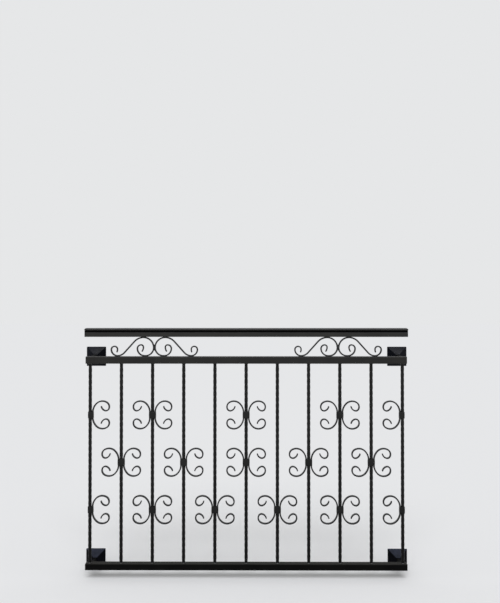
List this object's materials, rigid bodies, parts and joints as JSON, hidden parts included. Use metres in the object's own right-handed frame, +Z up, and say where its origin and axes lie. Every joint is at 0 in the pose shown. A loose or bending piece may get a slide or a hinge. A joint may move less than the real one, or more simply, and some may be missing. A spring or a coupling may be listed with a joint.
{
  "type": "iron balcony railing",
  "caption": "Wall-fixed iron window railing: moulded handrail on a scroll frieze, twisted square bars with collared C scrolls, and four square-covered wall arms.",
  "frame": {"origin": "middle of the back face of the lower left wall plate, on the wall, level with the middle of the lower arms", "axes": "+X along the railing to the right seen from the street, +Y into the wall, +Z up"},
  "size_m": [1.33, 0.158, 0.9969],
  "materials": {
    "rail_paint": "satin black paint over steel tube",
    "bar_paint": "satin black paint over square bar",
    "scroll_paint": "satin black paint, a little worn",
    "collar_paint": "satin black paint",
    "handrail_paint": "satin black paint, polished a little by hands",
    "arm_paint": "satin black paint",
    "cover_paint": "satin blue-black paint on pressed sheet",
    "plate_paint": "dark primer"
  },
  "bodies": {
    "root": {"handrail_cap": "handrail_paint", "handrail_base": "handrail_paint", "handrail_ends": "handrail_paint", "upper_rail": "rail_paint", "bottom_rail": "rail_paint", "rail_ends": "rail_paint", "bar_01": "bar_paint", "bar_02": "bar_paint", "bar_03": "bar_paint", "bar_04": "bar_paint", "bar_05": "bar_paint", "bar_06": "bar_paint", "bar_07": "bar_paint", "bar_08": "bar_paint", "bar_09": "bar_paint", "bar_10": "bar_paint", "bar_11": "bar_paint", "scroll_top_01": "scroll_paint", "scroll_top_03": "scroll_paint", "scroll_top_06": "scroll_paint", "scroll_top_09": "scroll_paint", "scroll_top_11": "scroll_paint", "scroll_mid_02": "scroll_paint", "scroll_mid_04": "scroll_paint", "scroll_mid_06": "scroll_paint", "scroll_mid_08": "scroll_paint", "scroll_mid_10": "scroll_paint", "scroll_low_01": "scroll_paint", "scroll_low_03": "scroll_paint", "scroll_low_05": "scroll_paint", "scroll_low_07": "scroll_paint", "scroll_low_09": "scroll_paint", "scroll_low_11": "scroll_paint", "collars_top": "collar_paint", "collars_mid": "collar_paint", "collars_low": "collar_paint", "frieze_left": "scroll_paint", "frieze_right": "scroll_paint", "wall_arms": "arm_paint", "plate_upper_left": "plate_paint", "plate_upper_right": "plate_paint", "plate_lower_left": "plate_paint", "plate_lower_right": "plate_paint", "wall_covers": "cover_paint"}
  },
  "joints": []
}
